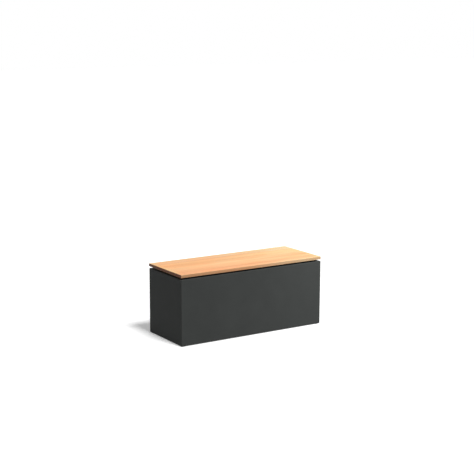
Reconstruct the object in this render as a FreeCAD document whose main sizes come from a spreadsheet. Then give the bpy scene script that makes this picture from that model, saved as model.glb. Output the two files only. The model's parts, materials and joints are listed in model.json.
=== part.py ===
# Storage seat box: a folded steel body and a hinged wooden lid over a shadow gap.
# Lengths are in millimetres. X runs along the box, -Y is its front and Z is up.
# The origin lies on the floor under the middle of the box.

import FreeCAD, Part
import os
import re
import Sketcher

doc = FreeCAD.newDocument("seat_box")
sheet = doc.addObject("Spreadsheet::Sheet", "Sizes")

# Driving dimensions: name, value and what it measures.
SIZES = [
    ("box_length", 1000, "whole box along X"),
    ("box_depth", 390, "whole box along Y"),
    ("box_height", 430, "floor to the top of the lid"),
    ("board_thick", 18, "wooden lid board"),
    ("shadow_gap", 11, "body rim to the underside of the board"),
    ("floor_gap", 3, "floor to the underside of the steel, also the thickness of a foot pad"),
    ("rear_setback", 3, "steel back inside the rear edge of the board"),
    ("sheet_thick", 1.5, "folded steel sheet"),
    ("bend_radius", 3, "outer radius of a fold in the sheet"),
    ("sheet_gap", 0.5, "between folded sheets that pass each other"),
    ("rim_width", 34, "top rim of the front and the ends"),
    ("rim_lip", 15, "depth of the lip that stiffens the rim"),
    ("rear_rim_width", 55.5, "top rim of the back, wide enough for the hinges"),
    ("floor_flange", 35, "flange along the bottom edge"),
    ("back_flange", 20, "return flange at each rear corner"),
    ("base_top", 28, "floor to the top of the base panel"),
    ("base_return", 30, "return under the skirt of the base panel"),
    ("board_edge", 1.5, "rounding on the edges of the board"),
    ("seal_inset", 22, "face of the box to the seal and the lid frame"),
    ("seal_width", 10, "rubber seal"),
    ("bar_width", 25, "bars of the lid frame"),
    ("bar_thick", 8, "bars of the lid frame"),
    ("frame_gap", 1, "lid frame to the hinge leaves"),
    ("frame_screw_inset", 43, "end of the lid frame to the last screw on its rails"),
    ("frame_screw_spread", 60, "screws on the end and cross bars from the middle"),
    ("wood_screw", 4, "wood screw shank"),
    ("wood_screw_head", 8, "countersunk head of a wood screw"),
    ("wood_screw_depth", 14, "reach of a wood screw into the board"),
    ("thread_clear", 0.05, "radial clearance of a thread in its hole or nut"),
    ("hole_clear", 0.2, "radial clearance of a bolt in sheet metal"),
    ("fit_clear", 0.05, "radial clearance of pins and sliding parts"),
    ("hinge_inset", 130, "end of the box to the middle of an outer hinge"),
    ("hinge_length", 80, "one hinge along X"),
    ("hinge_leaf", 2.5, "thickness of a hinge leaf"),
    ("hinge_leaf_depth", 34, "leaf in front of its knuckles"),
    ("hinge_clear", 0.3, "running clearance round the knuckles"),
    ("hinge_axis_inset", 5.5, "rear edge of the board to the hinge axis"),
    ("pin_width", 6, "hinge pin"),
    ("pin_head", 8, "riveted head of the hinge pin"),
    ("pin_head_thick", 1.2, "riveted head of the hinge pin"),
    ("hinge_screw_inset", 13, "end of a hinge to its screws"),
    ("hinge_screw_depth", 16, "between the two rows of hinge screws"),
    ("bolt", 5, "small machine screws and weld studs"),
    ("bolt_sink", 9.2, "countersunk head of a machine screw"),
    ("bolt_head", 9.5, "button head of a machine screw"),
    ("bolt_head_thick", 2.75, "button head of a machine screw"),
    ("bolt_head_radius", 2.2, "dome of a button head"),
    ("bolt_socket", 3, "hexagon socket across flats"),
    ("bolt_socket_depth", 1.5, "hexagon socket"),
    ("bolt_reach", 9, "machine screw under the sheet that it holds"),
    ("nut_flats", 8, "small nut across flats"),
    ("nut_thick", 4, "small nut"),
    ("back_screw_inset", 12, "face of the box to the screws of the back"),
    ("back_screw_low", 45, "floor to the lowest screw of the back"),
    ("back_screw_drop", 36, "body rim to the highest screw of the back"),
    ("rivet", 4, "blind rivet shank"),
    ("rivet_head", 8, "blind rivet head"),
    ("rivet_head_thick", 1.2, "blind rivet head"),
    ("rivet_bulb", 6, "closed end of a blind rivet"),
    ("rivet_bulb_thick", 4, "closed end of a blind rivet"),
    ("rivet_inset", 17, "face of the box to the rivets of the base"),
    ("rivet_end", 140, "end of the box to the last rivet along the base"),
    ("foot_inset", 20, "faces of the steel body to the middle of a foot"),
    ("foot_width", 30, "foot pad"),
    ("foot_edge", 1, "rounding on the foot pad"),
    ("foot_socket_depth", 2, "stud in its pad"),
    ("foot_stud", 8, "threaded stud of a foot"),
    ("foot_stud_top", 24, "floor to the top of the stud"),
    ("foot_nut_flats", 13, "weld nut of a foot across flats"),
    ("foot_nut_thick", 6.5, "weld nut of a foot"),
    ("strut_inset", 48, "end of the box to the middle of a strut"),
    ("strut_swing", 260, "hinge axis to each end of a strut"),
    ("strut_lid_drop", 16, "hinge axis down to the lid end of a strut"),
    ("strut_foot_inset", 88, "hinge axis forward to the body end of a strut"),
    ("ball", 10, "ball of a ball stud"),
    ("ball_clear", 0.1, "radial clearance of a ball in its socket"),
    ("stud_neck", 6, "neck of a ball stud"),
    ("stud_collar", 9, "collar of a ball stud"),
    ("stud_collar_thick", 2, "collar of a ball stud"),
    ("stud_head", 10, "riveted end of a ball stud"),
    ("stud_head_thick", 1.5, "riveted end of a ball stud"),
    ("socket_width", 16, "ball socket"),
    ("socket_depth", 14, "ball socket along X"),
    ("socket_back", 7, "middle of the ball to the closed side of its socket"),
    ("socket_mouth", 8.4, "open side of the ball socket"),
    ("socket_neck", 11, "part of the socket that takes the strut"),
    ("socket_edge", 1, "bevel on the edges of a ball socket"),
    ("socket_reach", 20, "middle of the ball to the end of the neck"),
    ("strut_thread", 6, "threaded end of the barrel and the rod"),
    ("strut_thread_length", 8, "threaded end of the barrel and the rod"),
    ("barrel_width", 18, "pressure barrel"),
    ("barrel_bore", 15, "pressure barrel"),
    ("barrel_bottom", 2.3, "closed end of the barrel"),
    ("barrel_gap", 14.8, "open end of the barrel to the socket of the rod, lid closed"),
    ("barrel_lip", 1.4, "rolled end of the barrel"),
    ("barrel_lip_bore", 11, "rolled end of the barrel"),
    ("guide_length", 6, "rod guide in the barrel"),
    ("rod_width", 8, "piston rod"),
    ("piston_gap", 0.5, "closed end of the barrel to the piston, lid closed"),
    ("piston_length", 8, "piston"),
    ("piston_seat", 5, "stepped end of the rod that carries the piston"),
    ("bracket_thick", 2.5, "strut bracket of the lid"),
    ("bracket_foot", 26, "leg of the lid bracket under the board"),
    ("bracket_offset", 11, "outer face of the lid bracket to the middle of the strut"),
    ("bracket_half", 25, "half the lid bracket along Y"),
    ("bracket_screw_spread", 15, "strut end to the screws of its lid bracket"),
    ("bracket_tip_radius", 6.3, "rounded lower end of the lid bracket"),
    ("bracket_tip", 9, "end of the lid bracket round its stud"),
    ("hat_thick", 2, "strut bracket of the body"),
    ("hat_offset", 12, "face of the body bracket to the middle of the strut"),
    ("hat_half", 20, "half the body bracket along Y"),
    ("hat_bridge_half", 22, "half the raised part of the body bracket"),
    ("hat_flange_half", 42, "half the whole body bracket along Z"),
    ("hat_bolt_place", 33, "strut end to the weld studs of its bracket"),
    ("weld_stud_length", 10, "weld stud off the end wall"),
    ("overrun", 2, "how far a cut runs past the face that it opens"),
]

# Places worked out from the driving dimensions.
PLACES = {
    "half_length": "box_length / 2",
    "front": "-box_depth / 2",
    "board_rear": "box_depth / 2",
    "body_rear": "board_rear - rear_setback",
    "board_low": "box_height - board_thick",
    "body_top": "board_low - shadow_gap",
    "wall_inside": "half_length - sheet_thick",
    "mouth_half": "half_length - rim_width",
    "rim_half": "mouth_half + bend_radius",
    "mouth_front": "front + rim_width",
    "mouth_rear": "back_outside - rear_rim_width",
    "back_outside": "body_rear - sheet_thick",
    "back_inside": "back_outside - sheet_thick",
    "back_half": "half_length - bend_radius - sheet_gap",
    "back_screw_place": "half_length - back_screw_inset",
    "back_screw_pitch": "(body_top - back_screw_drop - back_screw_low) / 4",
    "floor_half": "half_length - floor_flange",
    "floor_inside": "floor_gap + sheet_thick",
    "base_half": "wall_inside - sheet_gap",
    "base_front": "front + sheet_thick + sheet_gap",
    "base_rear": "back_inside - sheet_gap",
    "frame_half": "half_length - seal_inset",
    "frame_front": "front + seal_inset",
    "frame_rear": "hinge_front - frame_gap",
    "frame_low": "board_low - bar_thick",
    "rail_middle": "(bar_width + seal_width) / 2",
    "frame_screw_pitch": "(frame_half - frame_screw_inset) / 3",
    "window_half": "(frame_half - 2 * bar_width) / 3",
    "cross_place": "window_half + bar_width / 2",
    "axis_rear": "board_rear - hinge_axis_inset",
    "axis_high": "body_top + shadow_gap / 2",
    "knuckle_width": "shadow_gap - 2 * hinge_clear",
    "knuckle_length": "hinge_length / 5",
    "leaf_rear": "axis_rear - knuckle_width / 2 - hinge_clear",
    "hinge_front": "leaf_rear - hinge_leaf_depth",
    "hinge_screw_front": "(hinge_front + leaf_rear - hinge_screw_depth) / 2",
    "hinge_screw_spread": "hinge_length / 2 - hinge_screw_inset",
    "hinge_place": "half_length - hinge_inset",
    "foot_place": "half_length - foot_inset",
    "foot_front": "front + foot_inset",
    "foot_rear": "body_rear - foot_inset",
    "foot_nut_low": "floor_inside + sheet_thick",
    "rivet_pitch": "(box_length - 2 * rivet_end) / 3",
    "rivet_front": "front + rivet_inset",
    "rivet_rear": "body_rear - rivet_inset",
    "strut_plane": "half_length - strut_inset",
    "lid_end_y": "axis_rear - sqrt(strut_swing^2 - strut_lid_drop^2)",
    "lid_end_z": "axis_high - strut_lid_drop",
    "body_end_y": "axis_rear - strut_foot_inset",
    "body_end_z": "axis_high - sqrt(strut_swing^2 - strut_foot_inset^2)",
    "strut_closed": "sqrt((body_end_y - lid_end_y)^2 + (lid_end_z - body_end_z)^2)",
    "barrel_reach": "strut_closed - socket_reach - barrel_gap",
    "rod_reach": "strut_closed - socket_reach - barrel_bottom - piston_gap",
    "bracket_face": "strut_plane - bracket_offset",
    "hat_face": "strut_plane + hat_offset",
    "hat_flange_face": "wall_inside - hat_thick",
}

NAMES = {name for name, number, note in SIZES}


def bound(text):
    """Bind each size name of an expression to its cell of the sheet."""
    def swap(match):
        name = match.group()
        if name in PLACES:
            return "(" + bound(PLACES[name]) + ")"
        return "Sizes." + name if name in NAMES else name
    return re.sub(r"[a-z][a-z_0-9]*", swap, str(text))


def number(text):
    """Work out an expression now."""
    result = sheet.evalExpression(bound(text))
    return getattr(result, "Value", result)


for row, (name, amount, note) in enumerate(SIZES, start=1):
    sheet.set(f"A{row}", name)
    sheet.set(f"B{row}", str(amount))
    sheet.set(f"C{row}", note)
    sheet.setAlias(f"B{row}", name)
doc.recompute()

PLANE_ROLES = {"x": "YZ_Plane", "y": "XZ_Plane", "z": "XY_Plane"}
SIDES = {"left": -1, "right": 1}
SAME_POINT = 1e-4
SUNK_ANGLE = 45
pieces = []


def new_body(label, group=False):
    """Start a piece; a group is several equal solids in one piece."""
    body = doc.addObject("PartDesign::Body", label)
    body.Label = label
    body.AllowCompound = group
    pieces.append(body)
    return body


def new_sketch(body, normal, level):
    """Add a sketch across an axis of the body, at a level along that axis."""
    sketch = body.newObject("Sketcher::SketchObject", "sketch")
    role = PLANE_ROLES[normal]
    plane = [item for item in body.Origin.OriginFeatures if item.Role == role][0]
    sketch.AttachmentSupport = [(plane, "")]
    sketch.MapMode = "FlatFace"
    sketch.setExpression("AttachmentOffset.Base.z", bound(level))
    return sketch


def place_rules(geometry, vertex, across, up):
    """Rules that hold one sketch point at its place, each with its expression."""
    return [(Sketcher.Constraint(kind, -1, 1, geometry, vertex, number(text)), bound(text))
            for kind, text in (("DistanceX", across), ("DistanceY", up))]


def draw(sketch, loops=(), circles=()):
    """Draw closed outlines and circles, all held by size expressions."""
    geometry = []
    rules = []
    for corners in loops:
        points = [FreeCAD.Vector(number(across), number(up), 0) for across, up in corners]
        first = len(geometry)
        last = first + len(points) - 1
        for index, (here, there) in enumerate(zip(points, points[1:] + points[:1]), start=first):
            geometry.append(Part.LineSegment(here, there))
            following = first if index == last else index + 1
            rules.append((Sketcher.Constraint("Coincident", index, 2, following, 1), None))
            rules += place_rules(index, 1, *corners[index - first])
    for across, up, width in circles:
        middle = FreeCAD.Vector(number(across), number(up), 0)
        rules += place_rules(len(geometry), 3, across, up)
        rules.append((Sketcher.Constraint("Diameter", len(geometry), number(width)), bound(width)))
        geometry.append(Part.Circle(middle, FreeCAD.Vector(0, 0, 1), number(width) / 2))
    sketch.addGeometry(geometry, False)
    sketch.addConstraint([rule for rule, text in rules])
    for index, (rule, text) in enumerate(rules):
        if text:
            sketch.setExpression(f"Constraints[{index}]", text)


def prism(body, normal, low, high, loops=(), circles=(), cut=False, refine=True):
    """Pad or cut outlines from one level to a higher one along an axis."""
    level = f"-({high})" if normal == "y" else low
    sketch = new_sketch(body, normal, level)
    draw(sketch, loops, circles)
    feature = body.newObject("PartDesign::Pocket" if cut else "PartDesign::Pad", "prism")
    feature.Profile = sketch
    feature.Refine = refine
    feature.Reversed = cut
    feature.setExpression("Length", bound(f"({high}) - ({low})"))
    doc.recompute([sketch, feature])
    return feature


def hexagons(body, normal, low, high, places, flats, bore=None, cut=False):
    """Pad or cut one hexagon at each place, with a round hole in it where a bore is given."""
    for across, up in places:
        circles = [(across, up, bore)] if bore else []
        prism(body, normal, low, high, [hexagon(across, up, flats)], circles, cut, refine=False)


def sunk_heads(body, level, places, wide, narrow, downwards=False):
    """Pad countersunk heads that narrow from a level, upwards or downwards."""
    sketch = new_sketch(body, "z", level)
    draw(sketch, circles=[(across, up, wide) for across, up in places])
    feature = body.newObject("PartDesign::Pad", "sunk_heads")
    feature.Profile = sketch
    feature.Reversed = downwards
    feature.setExpression("Length", bound(f"({wide} - {narrow}) / 2"))
    feature.TaperAngle = -SUNK_ANGLE
    doc.recompute([sketch, feature])
    return feature


def turn(body, corners, cut=False):
    """Turn an outline of radius and height round the Z axis of the body."""
    sketch = new_sketch(body, "y", "0")
    draw(sketch, [corners])
    feature = body.newObject("PartDesign::Groove" if cut else "PartDesign::Revolution", "turn")
    feature.Profile = sketch
    feature.ReferenceAxis = (sketch, ["V_Axis"])
    feature.Angle = 360
    doc.recompute([sketch, feature])
    return feature


def round_ball(body, width, cut=False, seam_turn=0):
    """Add or cut a ball round the origin of the body; its seam can be turned round Z."""
    kind = "PartDesign::SubtractiveSphere" if cut else "PartDesign::AdditiveSphere"
    feature = body.newObject(kind, "ball")
    spin = FreeCAD.Rotation(FreeCAD.Vector(0, 0, 1), seam_turn)
    feature.Placement = FreeCAD.Placement(FreeCAD.Vector(0, 0, 0), spin)
    feature.setExpression("Radius", bound(f"({width}) / 2"))
    doc.recompute([feature])
    return feature


def near(one, other):
    return abs(one - other) < SAME_POINT


def straight_edges(body, lines):
    """Name the edges along an axis whose two other coordinates are given."""
    targets = [("xyz".index(axis), number(one), number(other)) for axis, one, other in lines]
    found = []
    for index, edge in enumerate(body.Tip.Shape.Edges, start=1):
        ends = [tuple(vertex.Point) for vertex in edge.Vertexes]
        if len(ends) != 2 or edge.Curve.TypeId != "Part::GeomLine":
            continue
        for along, one, other in targets:
            first, second = [k for k in range(3) if k != along]
            if all(near(end[first], one) and near(end[second], other) for end in ends):
                found.append(f"Edge{index}")
    return found


def circle_edges(body, axis, level, width):
    """Name the full circles across an axis at a level."""
    along = "xyz".index(axis)
    found = []
    for index, edge in enumerate(body.Tip.Shape.Edges, start=1):
        curve = edge.Curve
        if curve.TypeId != "Part::GeomCircle" or not near(curve.Radius, number(width) / 2):
            continue
        if near(curve.Center[along], number(level)) and near(abs(curve.Axis[along]), 1):
            found.append(f"Edge{index}")
    return found


def dress(body, kind, size, edges):
    """Round or chamfer the named edges of the piece so far."""
    base = body.Tip
    feature = body.newObject("PartDesign::" + kind, kind.lower())
    feature.Base = (base, edges)
    feature.setExpression("Radius" if kind == "Fillet" else "Size", bound(size))
    doc.recompute([feature])
    return feature


def every_edge(body):
    """Name all the edges of the piece so far."""
    return [f"Edge{index + 1}" for index in range(len(body.Tip.Shape.Edges))]


def rectangle(left, right, low, high):
    return [(left, low), (right, low), (right, high), (left, high)]


def hexagon(across, up, flats):
    """Corners of a hexagon that lies on two of its flats."""
    corners = []
    reach = f"({flats}) / sqrt(3)"
    for angle in range(0, 360, 60):
        corners.append((f"({across}) + {reach} * cos({angle})", f"({up}) + {reach} * sin({angle})"))
    return corners


def box_edges(x_low, x_high, y_low, y_high, z_low, z_high):
    """The twelve edge lines of a box."""
    lines = [("x", y, z) for y in (y_low, y_high) for z in (z_low, z_high)]
    lines += [("y", x, z) for x in (x_low, x_high) for z in (z_low, z_high)]
    lines += [("z", x, y) for x in (x_low, x_high) for y in (y_low, y_high)]
    return lines


def mirrored(text):
    """The same place on the left half."""
    return f"-({text})"


def both_ends(places):
    """Repeat places, given for the right half, on the left half."""
    return [(mirrored(x), y) for x, y in places] + list(places)


def sorted_ends(sign, inner, outer):
    """Two places along X on one side of the box, lower one first."""
    return (inner, outer) if sign > 0 else (mirrored(outer), mirrored(inner))


def holes(places, width, clearance):
    """Circles for holes round a shank, wider by a radial clearance."""
    return [(across, up, f"{width} + 2 * {clearance}") for across, up in places]


# Places that more than one piece shares.
FEET = {
    "front_left": (mirrored("foot_place"), "foot_front"),
    "front_right": ("foot_place", "foot_front"),
    "rear_left": (mirrored("foot_place"), "foot_rear"),
    "rear_right": ("foot_place", "foot_rear"),
}
HINGES = {"left": mirrored("hinge_place"), "centre": "0", "right": "hinge_place"}
HINGE_SCREWS = [
    (f"{middle} + {side} * hinge_screw_spread", f"hinge_screw_front + {row} * hinge_screw_depth")
    for middle in HINGES.values() for side in SIDES.values() for row in (0, 1)
]
BACK_SCREWS = both_ends(
    [("back_screw_place", f"back_screw_low + {step} * back_screw_pitch") for step in range(5)]
)
FRONT_RIVETS = [(f"{step} * rivet_pitch / 2", "rivet_front") for step in (-3, -1, 1, 3)]
REAR_RIVETS = [(across, "rivet_rear") for across, up in FRONT_RIVETS]
FRAME_SCREWS = [
    (f"{step} * frame_screw_pitch", rail)
    for rail in ("frame_front + rail_middle", "frame_rear - rail_middle") for step in range(-3, 4)
]
FRAME_SCREWS += both_ends(
    [(bar, f"{side} * frame_screw_spread")
     for bar in ("frame_half - rail_middle", "cross_place") for side in SIDES.values()]
)
BRACKET_SCREWS = both_ends(
    [("bracket_face - (bracket_foot + bracket_thick) / 2",
      f"lid_end_y + {side} * bracket_screw_spread") for side in SIDES.values()]
)
WELD_STUDS = [("body_end_y", f"body_end_z {way} hat_bolt_place") for way in "+-"]
STRUT_ANGLE = "atan2(lid_end_z - body_end_z; lid_end_y - body_end_y)"


def fold_box(body, x_low, x_high, y_low, y_high, z_low, z_high):
    """Fold a closed box of sheet, rounded outside and inside."""
    thick = "sheet_thick"
    prism(body, "z", z_low, z_high, [rectangle(x_low, x_high, y_low, y_high)])
    dress(body, "Fillet", "bend_radius", every_edge(body))
    inside = [f"{low} + {thick}" if low in (x_low, y_low, z_low) else f"{low} - {thick}"
              for low in (x_low, x_high, y_low, y_high, z_low, z_high)]
    prism(body, "z", inside[4], inside[5], [rectangle(*inside[:4])], cut=True)
    dress(body, "Fillet", f"bend_radius - {thick}", straight_edges(body, box_edges(*inside)))


def rim_fold(edge, away):
    """Section of a rim's folded edge and lip; away is the sign from the mouth to the rim."""
    rim_end = f"{edge} {away} bend_radius"
    lip_back = f"{edge} {away} sheet_thick"
    return [(rim_end, "body_top"), (edge, "body_top"), (edge, "body_top - rim_lip"),
            (lip_back, "body_top - rim_lip"), (lip_back, "body_top - sheet_thick"),
            (rim_end, "body_top - sheet_thick")]


def make_front_wrap():
    """One folded sheet: the front, both ends, their rims, floor flanges and rear returns."""
    body = new_body("front_wrap")
    fold_box(body, mirrored("half_length"), "half_length", "front", "body_rear",
             "floor_gap", "body_top")
    past_rear = "body_rear + overrun"
    mouth = rectangle(mirrored("rim_half"), "rim_half", "mouth_front - bend_radius", past_rear)
    prism(body, "z", "body_top - bend_radius", "body_top + overrun", [mouth], cut=True)
    back_half = "half_length - back_flange"
    opening = rectangle(mirrored(back_half), back_half, "body_rear - bend_radius", past_rear)
    prism(body, "z", "floor_gap - overrun", "body_top - bend_radius", [opening], cut=True)
    floor = rectangle(mirrored("floor_half"), "floor_half", "front + floor_flange", past_rear)
    prism(body, "z", "floor_gap - overrun", "floor_gap + bend_radius", [floor], cut=True)

    front_lip = rim_fold("mouth_front", "-")
    front_half = "mouth_half - sheet_gap"
    prism(body, "x", mirrored(front_half), front_half, [front_lip])
    folds = [("x", *front_lip[1])]
    inner_folds = [("x", *front_lip[4])]
    for sign in "-+":
        end_lip = rim_fold(f"{sign} mouth_half", sign)
        prism(body, "y", "mouth_front + sheet_gap", "mouth_rear - sheet_gap", [end_lip])
        folds.append(("y", *end_lip[1]))
        inner_folds.append(("y", *end_lip[4]))
    dress(body, "Fillet", "bend_radius", straight_edges(body, folds))
    dress(body, "Fillet", "bend_radius - sheet_thick", straight_edges(body, inner_folds))
    floor_holes = holes(FEET.values(), "foot_stud", "hole_clear")
    floor_holes += holes(FRONT_RIVETS, "rivet", "thread_clear")
    prism(body, "z", "floor_gap - overrun", "floor_gap + bend_radius", circles=floor_holes, cut=True)
    screw_holes = holes(BACK_SCREWS, "bolt", "hole_clear")
    prism(body, "y", "body_rear - bend_radius", past_rear, circles=screw_holes, cut=True)


def make_back_panel():
    """The back, with a floor flange and a wide rim that carries the hinges."""
    body = new_body("back_panel")
    middle = "(floor_gap + body_top) / 2"
    plate = rectangle(mirrored("back_half"), "back_half",
                      "floor_gap + bend_radius + sheet_gap", "body_top - bend_radius - sheet_gap")
    prism(body, "y", "back_inside", "back_outside", [plate])
    flange_half = "floor_half - sheet_gap"
    flange_front = "body_rear - floor_flange"
    foot = [("back_outside", middle), ("back_outside", "floor_gap"), (flange_front, "floor_gap"),
            (flange_front, "floor_inside"), ("back_inside", "floor_inside"), ("back_inside", middle)]
    prism(body, "x", mirrored(flange_half), flange_half, [foot])
    rear_rim_half = "rim_half - sheet_gap"
    rim_low = "body_top - sheet_thick"
    lip_low = "body_top - rim_lip"
    lip_rear = "mouth_rear + sheet_thick"
    rim = [("back_outside", middle), ("back_outside", "body_top"), ("mouth_rear", "body_top"),
           ("mouth_rear", lip_low), (lip_rear, lip_low), (lip_rear, rim_low),
           ("back_inside", rim_low), ("back_inside", middle)]
    prism(body, "x", mirrored(rear_rim_half), rear_rim_half, [rim])
    outer = [("x", "back_outside", "floor_gap"), ("x", "back_outside", "body_top"),
             ("x", "mouth_rear", "body_top")]
    dress(body, "Fillet", "bend_radius", straight_edges(body, outer))
    inner = [("x", "back_inside", "floor_inside"), ("x", "back_inside", rim_low),
             ("x", lip_rear, rim_low)]
    dress(body, "Fillet", "bend_radius - sheet_thick", straight_edges(body, inner))
    prism(body, "y", "back_inside - overrun", "back_outside + overrun",
          circles=holes(BACK_SCREWS, "bolt", "hole_clear"), cut=True)
    prism(body, "z", "body_top - bend_radius", "body_top + overrun",
          circles=holes(HINGE_SCREWS, "bolt", "hole_clear"), cut=True)
    prism(body, "z", "floor_gap - overrun", "floor_gap + bend_radius",
          circles=holes(REAR_RIVETS, "rivet", "thread_clear"), cut=True)


def make_base_panel():
    """A raised tray that closes the bottom and hides the foot nuts."""
    body = new_body("base_panel")
    fold_box(body, mirrored("base_half"), "base_half", "base_front", "base_rear",
             "floor_inside", "base_top")
    opening = rectangle(mirrored("base_half - base_return"), "base_half - base_return",
                        "base_front + base_return", "base_rear - base_return")
    prism(body, "z", "floor_inside - overrun", "floor_inside + bend_radius", [opening], cut=True)
    base_holes = holes(FEET.values(), "foot_stud", "hole_clear")
    base_holes += holes(FRONT_RIVETS + REAR_RIVETS, "rivet", "thread_clear")
    prism(body, "z", "floor_inside - overrun", "floor_inside + bend_radius",
          circles=base_holes, cut=True)


def make_base_rivets():
    """Blind rivets through the floor flanges and the returns of the base."""
    body = new_body("base_panel_rivets", group=True)
    places = FRONT_RIVETS + REAR_RIVETS
    top = "floor_inside + sheet_thick"
    prism(body, "z", "floor_gap - rivet_head_thick", f"{top} + rivet_bulb_thick",
          circles=[(x, y, "rivet") for x, y in places])
    prism(body, "z", "floor_gap - rivet_head_thick", "floor_gap",
          circles=[(x, y, "rivet_head") for x, y in places])
    prism(body, "z", top, f"{top} + rivet_bulb_thick",
          circles=[(x, y, "rivet_bulb") for x, y in places])
    dress(body, "Fillet", "rivet_head_thick / 2",
          circle_edges(body, "z", "floor_gap - rivet_head_thick", "rivet_head"))


def make_back_screws():
    """Button-head screws through the rear returns, and their nuts inside."""
    screws = new_body("back_panel_screws", group=True)
    head = "body_rear + bolt_head_thick"
    prism(screws, "y", "back_inside - bolt_reach", "body_rear",
          circles=[(x, z, "bolt") for x, z in BACK_SCREWS])
    prism(screws, "y", "body_rear", head, circles=[(x, z, "bolt_head") for x, z in BACK_SCREWS])
    dress(screws, "Fillet", "bolt_head_radius", circle_edges(screws, "y", head, "bolt_head"))
    hexagons(screws, "y", f"{head} - bolt_socket_depth", f"{head} + overrun", BACK_SCREWS,
             "bolt_socket", cut=True)
    nuts = new_body("back_panel_nuts", group=True)
    hexagons(nuts, "y", "back_inside - nut_thick", "back_inside", BACK_SCREWS,
             "nut_flats", "bolt + 2 * thread_clear")


def make_feet():
    """Four levelling feet and their weld nuts."""
    nuts = new_body("foot_nuts", group=True)
    hexagons(nuts, "z", "foot_nut_low", "foot_nut_low + foot_nut_thick", FEET.values(),
             "foot_nut_flats", "foot_stud + 2 * thread_clear")
    for corner, (x, y) in FEET.items():
        pad = new_body(f"foot_pad_{corner}")
        prism(pad, "z", "0", "floor_gap", circles=[(x, y, "foot_width")])
        dress(pad, "Fillet", "foot_edge", circle_edges(pad, "z", "floor_gap", "foot_width"))
        prism(pad, "z", "floor_gap - foot_socket_depth", "floor_gap + overrun",
              circles=holes([(x, y)], "foot_stud", "thread_clear"), cut=True)
        stud = new_body(f"foot_stud_{corner}")
        prism(stud, "z", "floor_gap - foot_socket_depth", "foot_stud_top",
              circles=[(x, y, "foot_stud")])
        dress(stud, "Chamfer", "foot_edge", circle_edges(stud, "z", "foot_stud_top", "foot_stud"))


def make_hinge_leaf(label, middle, low, sunk, knuckles):
    """One leaf of a hinge; knuckles are counted from the middle one, number 0."""
    body = new_body(label)
    high = f"({low}) + hinge_leaf"
    left = f"{middle} - hinge_length / 2"
    right = f"{middle} + hinge_length / 2"
    prism(body, "z", low, high, [rectangle(left, right, "hinge_front", "leaf_rear")])
    dress(body, "Fillet", "bend_radius",
          straight_edges(body, [("z", left, "hinge_front"), ("z", right, "hinge_front")]))
    for knuckle in knuckles:
        place = f"{middle} + {knuckle} * knuckle_length"
        start = f"{place} - (knuckle_length - hinge_clear) / 2"
        end = f"{place} + (knuckle_length - hinge_clear) / 2"
        prism(body, "x", start, end, [rectangle("leaf_rear - overrun", "axis_rear", low, high)])
        prism(body, "x", start, end, circles=[("axis_rear", "axis_high", "knuckle_width")])
    prism(body, "x", f"{left} - overrun", f"{right} + overrun",
          circles=holes([("axis_rear", "axis_high")], "pin_width", "fit_clear"), cut=True)
    places = [place for place in HINGE_SCREWS if place[0].startswith(middle + " ")]
    prism(body, "z", f"({low}) - overrun", f"{high} + overrun",
          circles=holes(places, "bolt", "hole_clear"), cut=True)
    rims = circle_edges(body, "z", sunk, "bolt + 2 * hole_clear")
    dress(body, "Chamfer", "(bolt_sink - bolt) / 2", rims)


def make_hinges():
    """Three butt hinges, their countersunk screws and the nuts under the rim."""
    lid_leaf_low = "board_low - hinge_leaf"
    body_leaf_high = "body_top + hinge_leaf"
    for place, middle in HINGES.items():
        make_hinge_leaf(f"hinge_body_leaf_{place}", middle, "body_top", body_leaf_high, (-2, 0, 2))
        make_hinge_leaf(f"hinge_lid_leaf_{place}", middle, lid_leaf_low, lid_leaf_low, (-1, 1))
        pin = new_body(f"hinge_pin_{place}")
        left = f"{middle} - hinge_length / 2"
        right = f"{middle} + hinge_length / 2"
        head_left = f"{left} - pin_head_thick"
        head_right = f"{right} + pin_head_thick"
        axis = ("axis_rear", "axis_high")
        prism(pin, "x", left, right, circles=[(*axis, "pin_width")])
        prism(pin, "x", head_left, left, circles=[(*axis, "pin_head")])
        prism(pin, "x", right, head_right, circles=[(*axis, "pin_head")])
        rims = circle_edges(pin, "x", head_left, "pin_head")
        rims += circle_edges(pin, "x", head_right, "pin_head")
        dress(pin, "Fillet", "pin_head_thick / 2", rims)

    screws = new_body("hinge_body_screws", group=True)
    prism(screws, "z", "body_top - sheet_thick - bolt_reach", body_leaf_high,
          circles=[(x, y, "bolt") for x, y in HINGE_SCREWS])
    sunk_heads(screws, body_leaf_high, HINGE_SCREWS, "bolt_sink", "bolt", downwards=True)
    hexagons(screws, "z", f"{body_leaf_high} - bolt_socket_depth", f"{body_leaf_high} + overrun",
             HINGE_SCREWS, "bolt_socket", cut=True)
    nuts = new_body("hinge_body_nuts", group=True)
    nut_top = "body_top - sheet_thick"
    hexagons(nuts, "z", f"{nut_top} - nut_thick", nut_top, HINGE_SCREWS,
             "nut_flats", "bolt + 2 * thread_clear")
    make_wood_screws("hinge_lid_screws", HINGE_SCREWS, lid_leaf_low, "bolt_sink", "bolt")


def make_wood_screws(label, places, face, head, shank):
    """Countersunk screws driven up into the board from a face below it."""
    body = new_body(label, group=True)
    prism(body, "z", face, "board_low + wood_screw_depth", circles=[(x, y, shank) for x, y in places])
    sunk_heads(body, face, places, head, shank)
    prism(body, "z", f"{face} - overrun", f"{face} + bolt_socket_depth",
          circles=[(x, y, "bolt_socket") for x, y in places], cut=True)


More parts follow.
